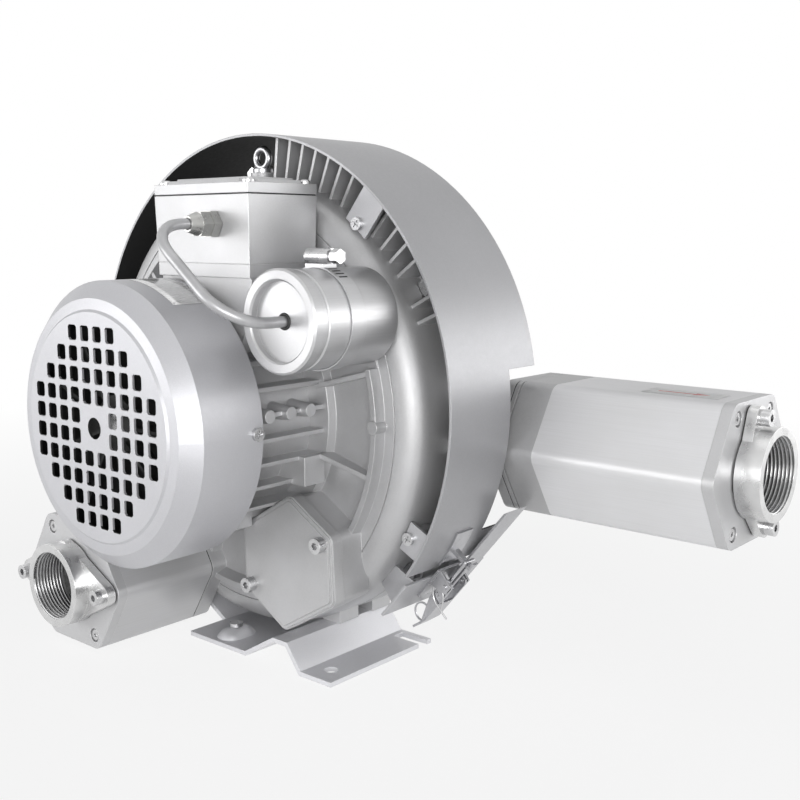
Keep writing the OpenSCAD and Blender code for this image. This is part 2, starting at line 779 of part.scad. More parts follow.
module capacitor_cap() {
  f = can_front;
  color("silver") can_turned([[0, f - 2], [22.5, f - 2], [22.5, f - 6], [23.5, f - 7],
    [can_r - 0.5, f - 7], [can_r + 0.7, f - 6], [can_r + 0.7, f], [0, f]]);
}

module capacitor_cell() {
  color("dimgray") rod_y(can_at, can_front + 8, can_back - 3, can_r - 1.5);
}

module clamp_band() {
  color("silver") difference() {
    union() {
      rod_y(can_at, -41, -30, can_r + 1.1);
      translate([can_at[0] - 7, -41, can_at[1] + can_r - 3]) cube([14, 11, 5.5]);
    }
    rod_y(can_at, -42, -29, can_r + 0.2);
  }
}

module clamp_screw() {
  z = can_at[1] + can_r + 2.5;
  color("silver") intersection() {
    translate([can_at[0] - 12, -45, z]) cube([40, 20, 12]);
    translate([can_at[0], -35.5, z + 4]) rotate([0, 90, 0]) {
      translate([0, 0, -9]) cylinder(h = 18, r = 4.6);
      translate([0, 0, 8]) cylinder(h = 3, r = 3);
      translate([0, 0, 10.5]) cylinder(h = 5, r = 4.4, $fn = 6);
    }
  }
}

module capacitor_bracket() {
  color("silver") difference() {
    translate([72, -41, axis_z + 68]) cube([20, 11, 19.5]);
    rod_y(can_at, -50, -20, can_r + 1.3);
  }
}

module band_wedge(a0, a1) {
  r = 300;
  polygon([[0, 0], r * [cos(a0), sin(a0)], r * [cos((a0 + a1) / 2), sin((a0 + a1) / 2)],
    r * [cos(a1), sin(a1)]]);
}

module band_ring(y0, y1, r_out, r_in) {
  difference() {
    rod_y([band_x, band_z], y0, y1, r_out);
    rod_y([band_x, band_z], y0 - 1, y1 + 1, r_in);
  }
}

module shroud_band() {
  color("silver") difference() {
    band_ring(band_front, band_rear, band_r + band_wall, band_r);
    slab(0, 120) translate([band_x, band_z]) band_wedge(217, 323);
    translate([100, 66.5, axis_z - 72]) cube([90, 60, 104]);
    bracket_holes(165);
  }
}

module bracket_holes(r0) {
  for (a = bracket_angles) at_angle(a) translate([housing_r + 3.5, 11, 0]) rotate([-90, 0, 0])
    cylinder(h = 5, r = 2.3);
}

module band_brackets() {
  color("silver") difference() {
    intersection() {
      union() {
        slab(12, 14.3) translate([0, axis_z]) circle(190);
        band_ring(14, 19.3, band_r - 0.1, band_r - 2.4);
      }
      rod_y([band_x, band_z], 11, 20, band_r - 0.1);
      union() {
        for (a = bracket_angles) at_angle(a) translate([housing_r - 3.5, 5, -10]) cube([30, 20, 20]);
      }
    }
    disc(5, 30, housing_r + 0.1);
    bracket_holes(0);
  }
}

module band_screws() {
  color("silver") for (a = bracket_angles) at_angle(a) translate([housing_r + 3.5, 12, 0])
    rotate([90, 0, 0]) difference() {
      union() {
        cylinder(h = 2.4, r = 4);
        translate([0, 0, -13]) cylinder(h = 13.5, r = 2);
      }
      for (b = [0, 90]) rotate([0, 0, b]) translate([-0.5, -2.4, 1.2]) cube([1, 4.8, 2]);
    }
}

// Plane of the latch: first axis up along the lower sheet, second axis outward
module latch_plane() {
  translate(sheet_at) rotate(slope) mirror([0, 1]) translate([14, band_wall]) children();
}

module lower_band() {
  w = band_wall;
  color("silver") {
    slab(9, 88) latch_plane() polygon([[-14, -w], [16, -w], [16, 0], [-14, 0]]);
    slab(66, 86) latch_plane() polygon([[15, -w], [66, -w], [70, 0], [15, 0]]);
    for (y = [20, 72]) slab(y, y + 2.4) latch_plane()
      polygon([[-8, -w - 16.8], [10, -w - 16.8], [14, -w], [-12, -w]]);
  }
}

module latch_base() {
  color("silver") {
    slab(latch_y - 12, latch_y + 12) latch_plane() polygon([[-2, 0], [15, 0], [24, 0], [24, 1.5], [-2, 1.5]]);
    for (s = [-1, 1]) {
      slab(latch_y + s * 9.25 - 0.75, latch_y + s * 9.25 + 0.75) latch_plane()
        polygon([[10, 0], [24, 0], [21.5, 13], [14.5, 13]]);
      slab(min(latch_y + s * 5.9, latch_y + s * 11), max(latch_y + s * 5.9, latch_y + s * 11))
        latch_plane() translate(pivot) circle(1.6);
    }
  }
}

module latch_lever() {
  color("silver") {
    difference() {
      union() {
        for (s = [-1, 1]) slab(latch_y + s * 7.2 - 0.7, latch_y + s * 7.2 + 0.7) latch_plane()
          polygon([[21.5, 7.5], [21.5, 12], [19.5, 13.6], [-14, 13.6], [-14, 11], [2, 5.6], [19, 5.6]]);
        slab(latch_y - 7.9, latch_y + 7.9) latch_plane()
          polygon([[3, 12.2], [-14, 12.2], [-24, 9.2], [-24.4, 10.6], [-14.3, 13.6], [3, 13.6]]);
      }
      slab(latch_y - 10, latch_y + 10) latch_plane() translate(pivot) circle(1.8);
      slab(latch_y - 10, latch_y + 10) latch_plane() translate(bail_at) circle(wire_r + 0.15);
    }
    slab(latch_y + 4, latch_y + 4.9) latch_plane() translate([-21, 4.5]) difference() {
      circle(6.6);
      circle(5.6);
    }
  }
}

module wire(a, b) {
  d = b - a;
  rotate([0, -atan2(d[1], d[0]), 0]) rotate([0, 90, 0]) cylinder(h = norm(d), r = wire_r);
}

module latch_bail() {
  ends = [for (p = [bail_at, bail_end]) sheet_at + [cos(slope), sin(slope)] * (p[0] + 14)
    + [sin(slope), -cos(slope)] * (p[1] + band_wall)];
  color("silver") {
    rod_y(ends[0], latch_y - 8.2, latch_y + 8.2, wire_r);
    rod_y(ends[1], latch_y - 4, latch_y + 4, wire_r);
    for (s = [-1, 1]) {
      translate([ends[0][0], latch_y + s * 4, ends[0][1]]) wire(ends[0], ends[1]);
      translate([ends[1][0], latch_y + s * 4, ends[1][1]]) sphere(wire_r);
    }
  }
}

module latch_keeper() {
  color("silver") difference() {
    union() {
      intersection() {
        band_ring(latch_y - 8, latch_y + 8, band_r + band_wall + 1.5, band_r + band_wall);
        slab(0, 90) translate([band_x, band_z]) band_wedge(-36, -27);
      }
      slab(latch_y - 2.3, latch_y + 2.3) latch_plane()
        polygon([[33.2, -8], [36.4, -8], [36.4, 11.2], [40.5, 11.2], [40.5, 12.8], [34.8, 12.8], [34.2, 4]]);
    }
    rod_y([band_x, band_z], 0, 100, band_r + band_wall);
  }
}

module port_cover() {
  color("silver") difference() {
    union() {
      slab(-23, -15) cover_outline(0);
      slab(-24, -22) cover_outline(-1);
      slab(-25, -23) cover_outline(-3);
    }
    for (s = [-1, 1]) rod_y(cover_at + s * cover_pitch * [cos(cover_turn), sin(cover_turn)],
      -26, -14, screw_r + 0.1);
  }
}

module flange_screws() {
  color("silver") {
    for (s = [-1, 1]) {
      translate([intake_at[0] + s * lobe_side, intake_front - plate_t - 1 - flange_t, intake_at[1]])
        rotate([90, 0, 0]) socket_screw(screw_r, 12.5);
      translate([cover_at[0] + s * cover_pitch * cos(cover_turn), -25,
        cover_at[1] + s * cover_pitch * sin(cover_turn)]) rotate([90, 0, 0]) socket_screw(screw_r, 22);
      translate([outlet_front + plate_t + 1 + flange_t,
        outlet_at[0] + s * outlet_pitch * cos(outlet_turn),
        outlet_at[1] + s * outlet_pitch * sin(outlet_turn)])
        rotate([0, 90, 0]) socket_screw(screw_r, 12.5);
    }
  }
}

module flange_gaskets() {
  fy = intake_front - plate_t;
  color("dimgray") {
    slab(intake_back, intake_back + 1) translate(intake_at) difference() {
      lobe(-0.5);
      lobe(-muffler_wall - 3);
    }
    slab(fy - 1, fy) translate(intake_at) difference() {
      flange_outline(lobe_side, 7);
      circle(23.5);
      for (s = [-1, 1]) translate([s * lobe_side, 0]) circle(screw_r + 0.1);
    }
    slab(-15, -14) difference() {
      cover_outline(-1);
      cover_outline(-6.2);
      for (s = [-1, 1]) translate(cover_at + s * cover_pitch * [cos(cover_turn), sin(cover_turn)])
        circle(screw_r + 0.1);
    }
    slab_x(158, 159) translate(outlet_at) difference() {
      lobe(-0.5);
      circle(28);
    }
    slab_x(outlet_front + plate_t, outlet_front + plate_t + 1) translate(outlet_at)
      rotate(outlet_turn) difference() {
        flange_outline(outlet_pitch, 6);
        circle(23.5);
        for (s = [-1, 1]) translate([s * outlet_pitch, 0]) circle(screw_r + 0.1);
      }
  }
}

// Hollow silencer section with screw bosses in its corners
module muffler_section() {
  difference() {
    union() {
      difference() {
        lobe(0);
        lobe(-muffler_wall);
      }
      corners() circle(6.5);
    }
    corners() circle(2 + fit);
  }
}

module foam_section() {
  difference() {
    lobe(-muffler_wall - 0.3);
    corners() circle(6.8);
    circle(23.5);
  }
}

module end_plate_section(pitch, turn) {
  difference() {
    lobe(0);
    circle(23.5);
    rotate(turn) for (s = [-1, 1]) translate([s * pitch, 0]) circle(screw_r + fit);
  }
}

module intake_muffler() {
  color("silver") slab(intake_front, intake_back) translate(intake_at) muffler_section();
}

module intake_end_plate() {
  color("silver") difference() {
    slab(intake_front - plate_t, intake_front) translate(intake_at) end_plate_section(lobe_side, 0);
    slab(intake_front - plate_t - 1, intake_front + 1) translate(intake_at) corners() circle(2.2);
    slab(intake_front - plate_t - 1, intake_front - 4) translate(intake_at) corners() circle(4.6);
  }
}

module intake_collar() {
  f = intake_front - plate_t - 1;
  color("silver") difference() {
    union() {
      slab(f - flange_t, f) translate(intake_at) flange_outline(lobe_side, 7.5);
      rod_y(intake_at, f - 15, f, collar_r);
    }
    rod_y(intake_at, f - 20, f + 1, thread_r);
    slab(f - flange_t - 1, f + 1) translate(intake_at)
      for (s = [-1, 1]) translate([s * lobe_side, 0]) circle(screw_r + 0.1);
    slab(f - 30, f - flange_t) translate(intake_at)
      for (s = [-1, 1]) translate([s * lobe_side, 0]) circle(6);
  }
}

module outlet_elbow() {
  color("silver") difference() {
    union() {
      slab_x(86, 152) rounded_loop([[120, axis_z - 36], [136, axis_z - 36], [136, axis_z - 4],
        [120, axis_z - 4]], 16);
      slab_x(151, 158) translate(outlet_at) lobe(0);
      rod_y([112, axis_z - 20], 104, 122, 26);
    }
    rod_y([112, axis_z - 20], 103, 127, 17);
    translate([112, 127, axis_z - 20]) rotate([0, 90, 0]) cylinder(h = 60, r = 17);
    translate([112, 127, axis_z - 20]) sphere(17);
    translate([60, 100, axis_z - 90]) cube([90, 4, 140]);
  }
}

module outlet_adapter() {
  color("silver") difference() {
    union() {
      slab_x(159, 162) translate(outlet_at) lobe(0);
      slab_x(161, 164) translate(outlet_at) lobe(-1.2);
      slab_x(163, outlet_start) translate(outlet_at) lobe(0);
    }
    translate([158, outlet_at[0], outlet_at[1]]) rotate([0, 90, 0]) cylinder(h = 30, r = 27);
    slab_x(outlet_start - 12, outlet_start + 1) translate(outlet_at) corners() circle(2 + fit);
  }
}

module outlet_muffler() {
  color("silver") slab_x(outlet_start, outlet_front) translate(outlet_at) muffler_section();
}

module outlet_end_plate() {
  color("silver") difference() {
    slab_x(outlet_front, outlet_front + plate_t) translate(outlet_at)
      end_plate_section(outlet_pitch, outlet_turn);
    slab_x(outlet_front - 1, outlet_front + plate_t + 1) translate(outlet_at) corners() circle(2.2);
    slab_x(outlet_front + 4, outlet_front + plate_t + 1) translate(outlet_at) corners() circle(4.6);
  }
}

module outlet_collar() {
  f = outlet_front + plate_t + 1;
  color("silver") difference() {
    union() {
      slab_x(f, f + flange_t) translate(outlet_at) rotate(outlet_turn)
        flange_outline(outlet_pitch, 6.5);
      translate([f, outlet_at[0], outlet_at[1]]) rotate([0, 90, 0]) cylinder(h = 15, r = collar_r);
    }
    translate([f - 1, outlet_at[0], outlet_at[1]]) rotate([0, 90, 0]) cylinder(h = 20, r = thread_r);
    slab_x(f - 1, f + flange_t + 1) translate(outlet_at) rotate(outlet_turn)
      for (s = [-1, 1]) translate([s * outlet_pitch, 0]) circle(screw_r + 0.1);
    slab_x(f + flange_t, f + 30) translate(outlet_at) rotate(outlet_turn)
      for (s = [-1, 1]) translate([s * outlet_pitch, 0]) circle(5.4);
  }
}

module muffler_foam() {
  color("dimgray") {
    slab(intake_front + 0.5, intake_back - 0.5) translate(intake_at) foam_section();
    slab_x(outlet_start + 0.5, outlet_front - 0.5) translate(outlet_at) foam_section();
  }
}

module plate_screw() {
  difference() {
    cylinder(h = 2.4, r = 3.6);
    translate([0, 0, 1]) cylinder(h = 2, r = 1.6, $fn = 6);
  }
  translate([0, 0, -14]) cylinder(h = 14.5, r = 2);
}

module end_plate_screws() {
  color("silver") {
    for (x = [-lobe_x, lobe_x]) for (z = [-lobe_z, lobe_z]) {
      translate([intake_at[0] + x, intake_front - 4, intake_at[1] + z])
        rotate([90, 0, 0]) plate_screw();
      translate([outlet_front + 4, outlet_at[0] + x, outlet_at[1] + z])
        rotate([0, 90, 0]) plate_screw();
    }
  }
}

foot();
foot_bolts();
front_housing();
centre_plate();
rear_housing();
housing_bolts();
lifting_eye();
front_impeller();
rear_impeller();
impeller_spacer();
impeller_nut();
shaft_seals();
motor_shaft();
rotor_core();
drive_bearing();
drive_bearing_inner();
fan_bearing();
fan_bearing_inner();
stator_core();
stator_windings();
motor_frame();
fan_end_shield();
cooling_fan();
fan_cowl();
cowl_screws();
terminal_box();
terminal_lid();
lid_screws();
lid_gasket();
terminal_block();
cable_gland();
gland_nut();
capacitor_cable();
capacitor_can();
capacitor_cap();
capacitor_cell();
clamp_band();
clamp_screw();
capacitor_bracket();
shroud_band();
band_brackets();
band_screws();
lower_band();
latch_base();
latch_lever();
latch_bail();
latch_keeper();
port_cover();
flange_screws();
flange_gaskets();
intake_muffler();
intake_end_plate();
intake_collar();
outlet_elbow();
outlet_adapter();
outlet_muffler();
outlet_end_plate();
outlet_collar();
muffler_foam();
end_plate_screws();
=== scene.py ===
# %% [markdown]
# # A two-stage side-channel blower
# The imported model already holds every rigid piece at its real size: castings, band, mufflers, motor and latch.
# Blender adds what a solid can't show, which is the paint and metal finishes, the cable, the threads and the labels.
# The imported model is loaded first, so that each later step can ask it where a piece lies.

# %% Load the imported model
import math
import bmesh
import bpy
from mathutils import Matrix, Vector
from mathutils.bvhtree import BVHTree


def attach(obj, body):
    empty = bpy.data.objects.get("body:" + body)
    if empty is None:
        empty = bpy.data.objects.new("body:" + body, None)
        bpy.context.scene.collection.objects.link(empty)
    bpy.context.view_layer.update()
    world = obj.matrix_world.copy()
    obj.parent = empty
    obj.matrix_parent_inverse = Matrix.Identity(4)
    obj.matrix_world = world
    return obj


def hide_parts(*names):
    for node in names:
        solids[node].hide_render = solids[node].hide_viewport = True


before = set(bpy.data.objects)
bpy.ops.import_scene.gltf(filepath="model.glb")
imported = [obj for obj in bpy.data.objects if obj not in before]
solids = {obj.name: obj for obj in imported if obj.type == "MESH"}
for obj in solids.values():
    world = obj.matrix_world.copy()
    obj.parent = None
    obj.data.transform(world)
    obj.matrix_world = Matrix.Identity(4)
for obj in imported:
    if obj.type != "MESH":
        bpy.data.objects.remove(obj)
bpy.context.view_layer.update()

scene = bpy.context.scene
mm = 0.001

# %% [markdown]
# ## Where the picture is taken from
# The photographer stood in front of the motor and well to its right, slightly above the shaft, with a short lens.
# A camera needs a place, a direction and a focal length. The three are kept as plain numbers here, because a
# rotation built from a direction is easier to correct than three angles read off a gizmo.

# %% Camera
def direction(turn, rise):
    """The way a camera looks that is turned round the object and raised above it, in degrees"""
    a, e = math.radians(turn), math.radians(rise)
    return Vector((-math.sin(a) * math.cos(e), math.cos(a) * math.cos(e), -math.sin(e)))

lens_data = bpy.data.cameras.new("lens")
lens_data.sensor_width = 36
lens_data.lens = 48.94
lens_data.clip_start = 0.05
camera = bpy.data.objects.new("camera", lens_data)
scene.collection.objects.link(camera)
camera.location = Vector((547.3, -473.7, 274.6)) * mm
camera.rotation_euler = direction(40.67, 8.8).to_track_quat("-Z", "Y").to_euler()
scene.camera = camera
print("camera at", tuple(round(c, 4) for c in camera.location))

# %% [markdown]
# ## Floor and light
# A studio shot of a silver machine is mostly reflection, so the room matters as much as the paint. The room here is
# white for camera and mirror rays and much dimmer for the soft light that falls on surfaces. Two large panels at the
# height of the machine, behind its right side and before its left, give the long highlights of the metal. A third
# beside the camera lights the dull part of the paint, and a weak one overhead keeps the upper sides from going dark.

# %% Room
def shader_node(tree, kind, **settings):
    made = tree.nodes.new(kind)
    for key, value in settings.items():
        setattr(made, key, value)
    return made

def seen_directly(tree):
    """1 for camera, mirror and glass rays, and 0 for the light that falls on surfaces"""
    path = shader_node(tree, "ShaderNodeLightPath")
    first = shader_node(tree, "ShaderNodeMath", operation="ADD", use_clamp=True)
    both = shader_node(tree, "ShaderNodeMath", operation="ADD", use_clamp=True)
    tree.links.new(path.outputs["Is Camera Ray"], first.inputs[0])
    tree.links.new(path.outputs["Is Glossy Ray"], first.inputs[1])
    tree.links.new(first.outputs[0], both.inputs[0])
    tree.links.new(path.outputs["Is Transmission Ray"], both.inputs[1])
    return both.outputs[0]

room_light, room_glow = 0.17, 1
room = bpy.data.worlds.new("studio_room")
scene.world = room
room.use_nodes = True
tree = room.node_tree
tree.nodes.clear()
soft, white = shader_node(tree, "ShaderNodeBackground"), shader_node(tree, "ShaderNodeBackground")
soft.inputs["Color"].default_value = (0.97, 0.98, 1, 1)
soft.inputs["Strength"].default_value = room_light
white.inputs["Color"].default_value = (1, 1, 1, 1)
white.inputs["Strength"].default_value = room_glow
pick, sky = shader_node(tree, "ShaderNodeMixShader"), shader_node(tree, "ShaderNodeOutputWorld")
tree.links.new(seen_directly(tree), pick.inputs[0])
tree.links.new(soft.outputs[0], pick.inputs[1])
tree.links.new(white.outputs[0], pick.inputs[2])
tree.links.new(pick.outputs[0], sky.inputs[0])

# %% Floor
floor_half, floor_drop = 6, 0.4 * mm
corners = [(x * floor_half, y * floor_half, 0) for x, y in ((-1, -1), (1, -1), (1, 1), (-1, 1))]
floor_mesh = bpy.data.meshes.new("floor")
floor_mesh.from_pydata(corners, [], [(0, 1, 2, 3)])
floor = bpy.data.objects.new("floor", floor_mesh)
floor.location.z = -floor_drop
scene.collection.objects.link(floor)
paper = bpy.data.materials.new("studio_paper")
paper.use_nodes = True
tree = paper.node_tree
tree.nodes.clear()

# Near the object the paper glows less than far away, so that it keeps the object's shadow and has no visible end
near, far, near_glow, far_glow = 0.3, 1.1, 0.84, 1.0
matt, glow = shader_node(tree, "ShaderNodeBsdfDiffuse"), shader_node(tree, "ShaderNodeEmission")
matt.inputs["Color"].default_value = (0.93, 0.93, 0.93, 1)
spot, away = shader_node(tree, "ShaderNodeTexCoord"), shader_node(tree, "ShaderNodeVectorMath", operation="LENGTH")
fade = shader_node(tree, "ShaderNodeMapRange")
for i, number in enumerate((near, far, near_glow, far_glow), start=1):
    fade.inputs[i].default_value = number
tree.links.new(spot.outputs["Object"], away.inputs[0])
tree.links.new(away.outputs["Value"], fade.inputs[0])
share = shader_node(tree, "ShaderNodeMath", operation="MULTIPLY")
tree.links.new(fade.outputs[0], share.inputs[1])
pick, end = shader_node(tree, "ShaderNodeMixShader"), shader_node(tree, "ShaderNodeOutputMaterial")
tree.links.new(seen_directly(tree), share.inputs[0])
tree.links.new(share.outputs[0], pick.inputs[0])
tree.links.new(matt.outputs[0], pick.inputs[1])
tree.links.new(glow.outputs[0], pick.inputs[2])
tree.links.new(pick.outputs[0], end.inputs[0])
floor_mesh.materials.append(paper)

# %% Lamps
middle = Vector((50, 0, 170)) * mm

def lamp(name, offset, width, height, watts):
    """A soft panel that stands off the object and faces its middle"""
    data = bpy.data.lights.new(name, "AREA")
    data.shape = "RECTANGLE"
    data.size, data.size_y, data.energy = width, height, watts
    made = bpy.data.objects.new(name, data)
    made.location = middle + Vector(offset)
    made.rotation_euler = (middle - made.location).to_track_quat("-Z", "Y").to_euler()
    scene.collection.objects.link(made)
    print("lamp", name, watts, "W")

lamp("side_panel", (1.15, 1.35, 0.1), 1.4, 0.9, 10)
lamp("front_panel", (-1.0, -1.4, 0.1), 1.2, 0.9, 11)
lamp("camera_panel", (1.15, -1.25, 0.1), 1.2, 0.6, 18)
lamp("top_panel", (0.0, -0.1, 1.6), 1.0, 0.7, 1)
scene.view_settings.view_transform = "Standard"

# %% [markdown]
# ## The capacitor cable
# A short lead leaves the gland of the terminal box, loops forward over the fan end and goes straight into the cap of
# the capacitor. It can be seen from end to end, so its route is known: two quarter turns of equal radius with a
# straight run between them. Points every few millimetres along it carry a curve whose bevel gives the round sheath.
# The bevel takes its size from the radius of each point, so that the curve's own box stays as small as the cable.

# %% Cable route
cable_r = 3.2 * mm
gland_mouth, cap_mouth = Vector((43, -73.5, 279)) * mm, Vector((112, -64, 226)) * mm
bend_r, lead_in = 27 * mm, 3 * mm
across = Vector((cap_mouth.x - gland_mouth.x, 0, cap_mouth.z - gland_mouth.z))
span = across.length
across.normalize()
straight = span - 2 * bend_r
quarter = [math.radians(15 * i) for i in range(7)]
flat_route = [(0, 0)]
flat_route += [(bend_r - bend_r * math.cos(a), -lead_in - bend_r * math.sin(a)) for a in quarter]
flat_route += [(bend_r + straight * i / 5, -lead_in - bend_r) for i in range(1, 5)]
flat_route += [(span - bend_r + bend_r * math.sin(a), -lead_in - bend_r * math.cos(a)) for a in quarter]
flat_route += [(span, -lead_in + (cap_mouth.y - gland_mouth.y + lead_in) * i / 2) for i in (1, 2)]
route = [gland_mouth + across * u + Vector((0, v, 0)) for u, v in flat_route]
cable_length = sum((b - a).length for a, b in zip(route, route[1:]))
print("cable:", len(route), "points,", round(cable_length * 1000, 1), "mm")

# %% Cable
line = bpy.data.curves.new("capacitor_lead", "CURVE")
line.dimensions = "3D"
line.bevel_depth = 1
line.bevel_resolution = 5
line.resolution_u = 4
spline = line.splines.new("BEZIER")
spline.bezier_points.add(len(route) - 1)
for point, at in zip(spline.bezier_points, route):
    point.co, point.radius = at, cable_r
    point.handle_left_type = point.handle_right_type = "AUTO"
lead = bpy.data.objects.new("capacitor_lead", line)
scene.collection.objects.link(lead)
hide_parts("capacitor_cable")
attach(lead, "frame")

# %% [markdown]
# ## A small language for node trees
# Every finish below is a recipe such as "a grey that is a little lighter where the noise is high". Linking nodes by
# hand hides that recipe, so one class wraps a socket and lets Python write sums with it, and another makes any node
# in one line. The same two classes serve the materials here and the Geometry Nodes further down.

# %% Sockets that add and multiply
class Value:
    """One output socket. An expression on it adds the Math nodes that work it out."""

    def __init__(self, net, socket):
        self.net, self.socket = net, socket

    def sum(self, operation, first, second, clamp=False):
        return self.net.node("ShaderNodeMath", {0: first, 1: second}, operation=operation, use_clamp=clamp)

    def __add__(self, other): return self.sum("ADD", self, other)
    def __sub__(self, other): return self.sum("SUBTRACT", self, other)
    def __rsub__(self, other): return self.sum("SUBTRACT", other, self)
    def __mul__(self, other): return self.sum("MULTIPLY", self, other)
    def __gt__(self, other): return self.sum("GREATER_THAN", self, other)
    def __lt__(self, other): return self.sum("LESS_THAN", self, other)
    def clamp(self): return self.sum("ADD", self, 0.0, clamp=True)
    def sine(self): return self.sum("SINE", self, 0.0)

class Net:
    """A node tree that makes any node in one line: its settings first, then its inputs"""

    def __init__(self, tree):
        self.tree = tree

    def node(self, kind, inputs=None, out=0, **settings):
        made = self.tree.nodes.new(kind)
        for key, value in settings.items():
            setattr(made, key, value)
        for key, value in (inputs or {}).items():
            socket = made.inputs[key]
            if isinstance(value, Value):
                self.tree.links.new(value.socket, socket)
            else:
                socket.default_value = value
        return Value(self, made.outputs[out])

# %% [markdown]
# ## What a finish is made of
# A finish is one Principled shader with its constant numbers set on the shader itself, and a few patterns that feed
# colour, roughness and bump. The patterns read Object coordinates in metres, so a grain of a millimetre is a
# millimetre on every piece. A Bevel node rounds the edges a little, because no cast or bent edge is truly sharp.

# %% The finish class
def grey(level, blue=1.0):
    return (level, level, level * blue, 1)

class Finish(Net):
    """A material: a Principled shader with constant numbers, and helpers for what varies on the surface"""

    def __init__(self, name, **constants):
        self.material = bpy.data.materials.new(name)
        self.material.use_nodes = True
        super().__init__(self.material.node_tree)
        self.tree.nodes.clear()
        self.shader = self.tree.nodes.new("ShaderNodeBsdfPrincipled")
        end = self.tree.nodes.new("ShaderNodeOutputMaterial")
        self.tree.links.new(self.shader.outputs[0], end.inputs[0])
        for key, value in constants.items():
            self.shader.inputs[key.replace("_", " ")].default_value = value
        self.where = self.node("ShaderNodeTexCoord", out="Object")

    def placed(self, centre=(0, 0, 0), stretch=(1, 1, 1)):
        """Object coordinates, centred on a piece and stretched, in metres"""
        shift = tuple(-c * s for c, s in zip(centre, stretch))
        return self.node("ShaderNodeMapping", {"Vector": self.where, "Location": shift, "Scale": stretch})

    def noise(self, scale, detail=2.0, where=None, rough=0.55):
        return self.node("ShaderNodeTexNoise", {"Vector": where or self.where, "Scale": scale, "Detail": detail,
                                                "Roughness": rough})

    def cells(self, scale, where=None):
        return self.node("ShaderNodeTexVoronoi", {"Vector": where or self.where, "Scale": scale})

    def ramp(self, value, low, high, a=0.0, b=1.0):
        """a below low, b above high and a straight line between"""
        return self.node("ShaderNodeMapRange", {0: value, 1: low, 2: high, 3: a, 4: b}, clamp=True)

    def blend(self, factor, first, second, mode="MIX"):
        return self.node("ShaderNodeMix", {0: factor, 6: first, 7: second}, out=2, data_type="RGBA",
                         blend_type=mode, clamp_factor=True)

    def bump(self, height, depth, over=None):
        inputs = {"Height": height, "Distance": depth, "Strength": 1.0}
        if over:
            inputs["Normal"] = over
        return self.node("ShaderNodeBump", inputs)

    def edges(self, radius):
        """The normal with its edges rounded, and how near an edge each point is"""
        rounded = self.node("ShaderNodeBevel", {"Radius": radius}, samples=4)
        flat = self.node("ShaderNodeNewGeometry", out="True Normal")
        level = self.node("ShaderNodeVectorMath", {0: rounded, 1: flat}, out="Value", operation="DOT_PRODUCT")
        return rounded, ((1 - level) * 5).clamp()

    def set(self, **sockets):
        for key, value in sockets.items():
            socket = self.shader.inputs[key.replace("_", " ")]
            if isinstance(value, Value):
                self.tree.links.new(value.socket, socket)
            else:
                socket.default_value = value
        return self.material

def dress(material, *names):
    """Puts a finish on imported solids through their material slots"""
    for name in names:
        piece = solids[name]
        for slot in piece.material_slots:
            slot.material = material
        if not piece.material_slots:
            piece.data.materials.append(material)
    print(material.name, "on", len(names), "solids")

# %% [markdown]
# ## Silver paint on the castings
# The housings, the motor frame, the terminal box and the flanges are sand-cast aluminium under silver paint. Close
# up, such paint shows a fine orange peel over the skin of the casting, with flakes that catch the light. It could be
# a photo texture, but a photo slides on odd shapes, so three patterns of different size do it: broad clouds for
# the tone, a millimetre grain for the skin and tiny cells for the flakes. Edges are painted a little brighter, partly
# as wear and partly as a painted highlight.

# %% Cast silver paint
def cast_paint(name, tone, grain=1.1 * mm, depth=0.05 * mm, edge=0.7 * mm, rough=0.46, metal=0.5):
    f = Finish(name, Metallic=metal)
    rounded, near_edge = f.edges(edge)
    cloud = f.noise(26, 3)
    skin = f.noise(1 / grain, 3)
    flake = f.cells(2600)
    shade = f.blend(f.ramp(cloud, 0.3, 0.7), grey(tone * 0.93, 1.01), grey(tone * 1.05, 1.02))
    shade = f.blend(f.ramp(skin, 0.35, 0.75) * 0.35, shade, grey(tone * 1.18))
    shade = f.blend(f.ramp(flake, 0.0, 0.25, 0.22, 0.0), shade, grey(min(tone * 1.5, 0.95)))
    # Edges painted lighter: partly worn paint, partly a painted highlight
    shade = f.blend(near_edge * 0.55, shade, grey(min(tone * 1.42, 0.92)))
    height = skin + f.noise(0.4 / grain, 2) * 0.7
    return f.set(Base_Color=shade, Roughness=f.ramp(skin, 0.3, 0.7, rough - 0.05, rough + 0.07) - near_edge * 0.12,
                 Normal=f.bump(height, depth, rounded))

housing_paint = cast_paint("housing_cast_paint", 0.50, grain=1.3 * mm, depth=0.06 * mm, rough=0.47)
motor_paint = cast_paint("motor_cast_paint", 0.54, grain=1.0 * mm, depth=0.045 * mm, rough=0.44)
box_paint = cast_paint("box_cast_paint", 0.56, grain=0.8 * mm, depth=0.04 * mm, rough=0.42)
adapter_paint = cast_paint("adapter_cast_paint", 0.48, grain=1.6 * mm, depth=0.11 * mm, rough=0.5)
dress(housing_paint, "front_housing", "rear_housing", "centre_plate", "port_cover")
dress(motor_paint, "motor_frame", "capacitor_bracket")
dress(box_paint, "terminal_box", "terminal_lid", "intake_end_plate", "outlet_end_plate")
dress(adapter_paint, "outlet_elbow", "outlet_adapter")

# %% [markdown]
# ## Painted sheet
# The band round the housing, the fan cowl and the foot are pressed or rolled steel sheet. Their paint is smoother
# than on a casting and they read as long soft gradients. Inside, the band and the cowl are painted nearly black as
# painted shade. The surface's own normal tells the inside from the outside: there it points at the shaft.

# %% Smooth sheet paint
looks_in, looks_back = -0.35, 0.7

